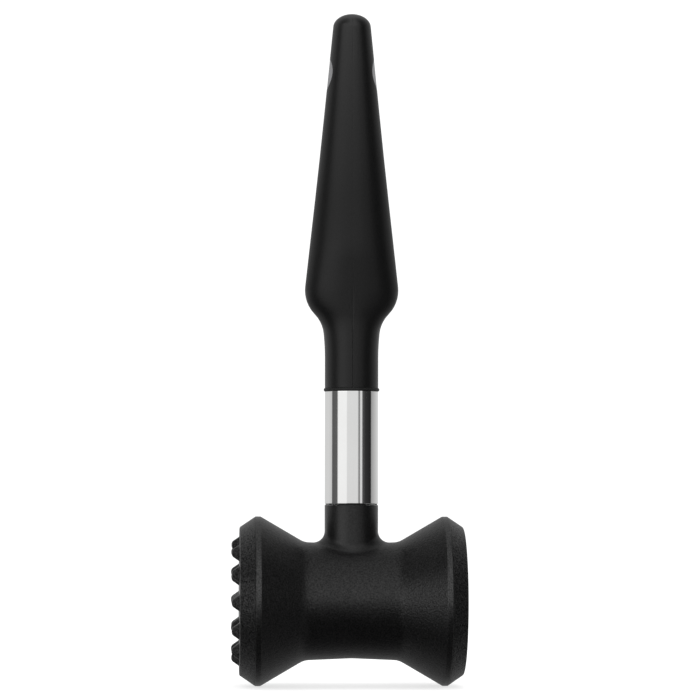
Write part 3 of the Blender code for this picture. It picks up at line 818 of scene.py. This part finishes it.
def tooth_places():
    """Centres of the teeth on the cap's face."""
    places = [(0.0, 0.0)]
    for ring in (1, 2):
        radius = ring * TOOTH_RING_STEP
        for index in range(6 * ring):
            angle = math.tau * index / (6 * ring)
            places.append((radius * math.sin(angle), radius * math.cos(angle)))
    return places


def tooth_profile():
    """Tooth's rounded profile from its foot to its flat top, as (half width, height) points."""
    corners = (
        (TOOTH_BASE_HALF + TOOTH_FOOT_REACH, 0.0, 0.0),
        (TOOTH_BASE_HALF, 0.0, TOOTH_FOOT_RADIUS),
        (TOOTH_TOP_HALF, TOOTH_HEIGHT, TOOTH_EDGE_RADIUS),
        (TOOTH_FLAT_HALF, TOOTH_HEIGHT, 0.0),
    )
    return rounded_outline(corners, TOOTH_ARC_STEP)


def rounded_square(half, height):
    """Points of a square whose corners are softer higher up the tooth, as (x, y)."""
    part = height / TOOTH_HEIGHT
    squareness = TOOTH_BASE_SQUARENESS + (TOOTH_TOP_SQUARENESS - TOOTH_BASE_SQUARENESS) * part
    points = []
    for index in range(TOOTH_SIDE_POINTS):
        angle = math.tau * (index + 0.5) / TOOTH_SIDE_POINTS
        x, y = math.cos(angle), math.sin(angle)
        norm = (abs(x) ** squareness + abs(y) ** squareness) ** (1 / squareness)
        points.append((half * x / norm, half * y / norm))
    return points


def add_teeth(shape):
    """Cuts the cap's flat disc out and fills the hole again round the teeth."""
    disc = max(
        (face for face in shape.faces if abs(face.calc_center_median().z - FACE_DISTANCE) < SAME_POINT),
        key=lambda face: len(face.verts),
    )
    flat_edges = list(disc.edges)
    bmesh.ops.delete(shape, geom=[disc], context="FACES_ONLY")
    profile = tooth_profile()
    for across, along in tooth_places():
        previous = None
        for half, height in profile:
            level = FACE_DISTANCE + height
            square = rounded_square(half, height)
            ring = [shape.verts.new((across + x, along + y, level)) for x, y in square]
            if previous is None:
                flat_edges.extend(shape.edges.new((ring[i - 1], ring[i])) for i in range(len(ring)))
            else:
                join_loops(shape, previous, ring)
            previous = ring
        shape.faces.new(previous)
    bmesh.ops.triangle_fill(shape, edges=flat_edges, use_beauty=True)


def make_caps(materials):
    """Both end caps, the smooth one towards +X and the toothed one towards -X."""
    for kind, side in (("smooth", 1), ("toothed", -1)):
        shape = turned_shape(cap_outline(), 2 * HEAD_STEPS)
        if kind == "toothed":
            add_teeth(shape)
        material = materials["cap_black"]
        piece = finish_piece(f"{kind}_cap_moulding", shape, material, "moulded_black", f"{kind}_cap")
        lie_in_head(piece, side)


# ---------------------------------------------------------------- handle


def handle_sections(inset, low, high):
    """Elliptical sections of the handle as (height, half width, half depth), drawn in by `inset`."""
    width = rounded_outline(WIDTH_CORNERS, LOFT_STEP_ANGLE)
    depth = rounded_outline(DEPTH_CORNERS, LOFT_STEP_ANGLE)
    top = min(high, TAPER_TOP)
    count = math.ceil((top - low) / SECTION_SPACING)
    heights = [low + (top - low) * step / count for step in range(count + 1)]
    sections = [(z, size_at(width, z) - inset, size_at(depth, z) - inset) for z in heights]
    if high <= TAPER_TOP:
        return sections
    rise = (HANDLE_TOP - TAPER_TOP) / (1 - math.sin(DOME_START_ANGLE))
    for step in range(1, DOME_STEPS):
        angle = DOME_START_ANGLE + (math.pi / 2 - DOME_START_ANGLE) * step / DOME_STEPS
        radius = (DOME_RADIUS - inset) * math.cos(angle) / math.cos(DOME_START_ANGLE)
        lift = (rise - inset) * (math.sin(angle) - math.sin(DOME_START_ANGLE))
        sections.append((TAPER_TOP + lift, radius, radius))
    return sections


def section_angles(parting):
    """Angles round a section, with a narrow pair at each parting line when there is one."""
    angles = [math.tau * index / SECTION_STEPS for index in range(SECTION_STEPS)]
    if parting:
        for line in (math.pi / 2, 3 * math.pi / 2):
            angles += [line - PARTING_HALF_ANGLE, line + PARTING_HALF_ANGLE]
    return sorted(angles)


def parting_depth(height):
    """Depth of the mould's parting line, deeper on the neck than on the taper."""
    if height > PARTING_TOP:
        return 0.0
    blend = min(1.0, max(0.0, (height - PARTING_CHANGE) / PARTING_BLEND))
    return PARTING_DEPTH_NECK + (PARTING_DEPTH_TAPER - PARTING_DEPTH_NECK) * blend


def handle_shape(inset, low, high, parting=False):
    """Closed solid with the handle's shape, flat at both ends or domed when it reaches the top."""
    shape = bmesh.new()
    angles = section_angles(parting)
    rings = []
    for height, half_width, half_depth in handle_sections(inset, low, high):
        ring = []
        for angle in angles:
            on_line = parting and abs(math.cos(angle)) < PARTING_MATCH
            depth = half_depth - parting_depth(height) if on_line else half_depth
            ring.append(shape.verts.new((half_width * math.cos(angle), depth * math.sin(angle), height)))
        rings.append(ring)
    for lower, upper in zip(rings, rings[1:]):
        join_loops(shape, lower, upper)
    shape.faces.new(rings[0])
    if high > TAPER_TOP:
        pole = shape.verts.new((0.0, 0.0, HANDLE_TOP - inset))
        for index in range(len(angles)):
            shape.faces.new((rings[-1][index - 1], rings[-1][index], pole))
    else:
        shape.faces.new(rings[-1])
    return shape


def oval_shape(gap):
    """Oval prism from inside the handle out past its +X side."""
    shape = bmesh.new()
    rings = []
    for distance in (OVAL_OUTER, OVAL_INNER):
        ring = []
        for index in range(OVAL_STEPS):
            angle = math.tau * (index + OVAL_START_STEP) / OVAL_STEPS
            across = (MEDALLION_HALF_WIDTH + gap) * math.cos(angle)
            along = (MEDALLION_HALF_LENGTH + gap) * math.sin(angle)
            ring.append(shape.verts.new((distance, across, MEDALLION_HEIGHT + along)))
        rings.append(ring)
    join_loops(shape, rings[0], rings[1])
    shape.faces.new(rings[0])
    shape.faces.new(rings[1])
    return shape


def apply_booleans(piece, *steps):
    """Cuts a piece with (operation, tool) steps and keeps the result as its mesh."""
    for operation, tool in steps:
        modifier = piece.modifiers.new(operation, "BOOLEAN")
        modifier.operation = operation
        modifier.solver = "EXACT"
        modifier.object = tool
    bpy.context.view_layer.update()
    graph = bpy.context.evaluated_depsgraph_get()
    cut = bpy.data.meshes.new_from_object(piece.evaluated_get(graph))
    piece.modifiers.clear()
    piece.data = cut
    cut.shade_smooth()
    cut.set_sharp_from_angle(angle=SHARP_ANGLE)


def make_tool(name, shape, turn=0.0):
    """Object that only cuts others, and is removed afterwards."""
    tool = stand_on_axis(finish_piece(name, shape, bpy.data.materials.new(name), None))
    tool.rotation_euler = (0.0, 0.0, turn)
    return tool


def make_handle(materials):
    """Soft sleeve with its parting line, and hollows for core and washer; oval inlays in its sides."""
    sleeve = handle_shape(0.0, GRIP_LOW, HANDLE_TOP, parting=True)
    slot = "soft_black"
    grip = finish_piece("grip_sleeve_moulding", sleeve, materials[slot], slot, "grip_sleeve")
    stand_on_axis(grip)
    washer_inset = NECK_RADIUS - WASHER_RADIUS - WASHER_GAP
    washer_room = handle_shape(washer_inset, CUT_LOW, WASHER_BOX[1].z + WASHER_GAP)
    floor_inset = MEDALLION_SEAT + MEDALLION_GAP
    cavity = make_tool("cavity_tool", handle_shape(CORE_INSET, CUT_LOW, CORE_TOP))
    recess = make_tool("recess_tool", washer_room)
    skin = make_tool("skin_tool", handle_shape(MEDALLION_RECESS, GRIP_LOW, HANDLE_TOP))
    seat = make_tool("seat_tool", handle_shape(MEDALLION_SEAT, GRIP_LOW, HANDLE_TOP))
    pocket_floor = make_tool("floor_tool", handle_shape(floor_inset, GRIP_LOW, HANDLE_TOP))
    tools = [cavity, recess, skin, seat, pocket_floor]
    cuts = [("DIFFERENCE", cavity), ("DIFFERENCE", recess)]
    slot = "medallion_grey"
    for side, turn in (("right", 0.0), ("left", math.pi)):
        name = f"{side}_medallion"
        medallion = finish_piece(f"{name}_inlay", oval_shape(0.0), materials[slot], slot, name)
        stand_on_axis(medallion).rotation_euler = (0.0, 0.0, turn)
        apply_booleans(medallion, ("INTERSECT", skin), ("DIFFERENCE", seat))
        pocket = make_tool(f"{side}_pocket_tool", oval_shape(MEDALLION_GAP), turn)
        apply_booleans(pocket, ("DIFFERENCE", pocket_floor))
        tools.append(pocket)
        cuts.append(("DIFFERENCE", pocket))
    apply_booleans(grip, *cuts)
    for tool in tools:
        bpy.data.objects.remove(tool, do_unlink=True)


def finish_inner_nodes(materials):
    """Gives every CAD node that stays its procedural material."""
    slots = {entry["node"]: entry["material_slot"] for entry in frame["record"]["subparts"]}
    for name, node in frame["nodes"].items():
        for material_slot in node.material_slots:
            material_slot.material = materials[slots[name]]


# ---------------------------------------------------------------- studio


def make_camera():
    camera = bpy.data.objects.new("camera", bpy.data.cameras.new("camera"))
    camera.location = CAMERA_PLACE
    camera.rotation_mode = "QUATERNION"
    aim = (CAMERA_TARGET - CAMERA_PLACE).to_track_quat("-Z", "Y")
    camera.rotation_quaternion = aim @ Quaternion((0.0, 0.0, 1.0), CAMERA_ROLL)
    camera.data.lens = CAMERA_LENS
    camera.data.clip_end = CAMERA_REACH
    bpy.context.scene.collection.objects.link(camera)
    bpy.context.scene.camera = camera


def make_world():
    """White surroundings, which light the mallet from all sides."""
    world = bpy.data.worlds.new("white_studio")
    world.use_nodes = True
    background = world.node_tree.nodes["Background"]
    background.inputs["Color"].default_value = (1.0, 1.0, 1.0, 1.0)
    background.inputs["Strength"].default_value = WORLD_STRENGTH
    bpy.context.scene.world = world
    bpy.context.scene.view_settings.view_transform = "Standard"


def angle_stops(stops, span):
    """Ramp stops for (degrees, value) pairs over a whole span that is centred on 0 degrees."""
    return [((degrees + span / 2) / span, value) for degrees, value in stops]


def tent_material():
    """Light of the reflection tent: soft panels and dark gaps, by direction from the mallet."""
    material = bpy.data.materials.new("reflection_tent")
    material.use_nodes = True
    material.node_tree.nodes.clear()
    nodes = Nodes(material.node_tree)
    place = nodes.add("ShaderNodeTexCoord").outputs["Object"]
    direction = nodes.add("ShaderNodeVectorMath", {0: place}, operation="NORMALIZE").outputs["Vector"]
    axes = nodes.add("ShaderNodeSeparateXYZ", {"Vector": direction})
    azimuth = nodes.math("ARCTAN2", axes.outputs["X"], nodes.math("MULTIPLY", axes.outputs["Y"], -1.0))
    azimuth_part = nodes.math("ADD", nodes.math("DIVIDE", azimuth, math.tau), 0.5)
    elevation = nodes.math("ARCSINE", axes.outputs["Z"])
    elevation_part = nodes.math("ADD", nodes.math("DIVIDE", elevation, math.pi), 0.5)
    around = nodes.ramp(azimuth_part, angle_stops(TENT_PANELS, 360))
    heights = None
    for sector, stops in TENT_HEIGHTS:
        height = nodes.ramp(elevation_part, angle_stops(stops, 180))
        if heights is None:
            heights = height
            continue
        weight = nodes.ramp(azimuth_part, angle_stops(sector, 360))
        mix = nodes.add("ShaderNodeMix", {"Factor": weight}, data_type="FLOAT")
        nodes.set(mix.inputs["A"], heights)
        nodes.set(mix.inputs["B"], height)
        heights = mix.outputs["Result"]
    emission = nodes.add("ShaderNodeEmission", {"Strength": nodes.math("MULTIPLY", around, heights)})
    output = nodes.add("ShaderNodeOutputMaterial")
    nodes.set(output.inputs["Surface"], emission.outputs["Emission"])
    material.cycles.emission_sampling = "NONE"
    return material


def make_tent():
    """Big sphere that only reflections see: it stands for the studio's panels and flags."""
    shape = bmesh.new()
    bmesh.ops.create_icosphere(shape, subdivisions=5, radius=TENT_RADIUS)
    tent = finish_piece("reflection_tent", shape, tent_material(), None)
    tent.location = TENT_PLACE
    for kind in ("camera", "diffuse", "transmission", "volume_scatter", "shadow"):
        setattr(tent, f"visible_{kind}", False)


def make_floor():
    """Pale floor that glows, so that it looks as white as the world."""
    shape = bmesh.new()
    bmesh.ops.create_grid(shape, x_segments=1, y_segments=1, size=FLOOR_SIZE / 2)
    material, nodes, shader = new_material("pale_floor")
    nodes.set(shader.inputs["Base Color"], tinted(nodes, nodes.noise(3.0), [FLOOR_GREY] * 3, 0.01))
    shader.inputs["Emission Color"].default_value = (1.0, 1.0, 1.0, 1.0)
    shader.inputs["Emission Strength"].default_value = FLOOR_GLOW
    shader.inputs["Roughness"].default_value = FLOOR_ROUGHNESS
    shader.inputs["Specular IOR Level"].default_value = 0.0
    floor = finish_piece("pale_floor", shape, material, None)
    floor.location = (0.0, 0.0, -FLOOR_DROP)
    floor.visible_glossy = False


def make_top_light():
    """Soft light from above that reflections don't show."""
    light = bpy.data.lights.new("overhead_softbox", "AREA")
    light.shape = "DISK"
    light.size = TOP_LIGHT_SIZE
    light.energy = TOP_LIGHT_POWER
    lamp = bpy.data.objects.new("overhead_softbox", light)
    lamp.location = TOP_LIGHT_PLACE
    lamp.visible_glossy = False
    bpy.context.scene.collection.objects.link(lamp)


make_camera()
materials = make_materials()
finish_inner_nodes(materials)
make_head_shell(materials)
make_caps(materials)
make_rings(materials)
make_handle(materials)
make_world()
make_tent()
make_floor()
make_top_light()
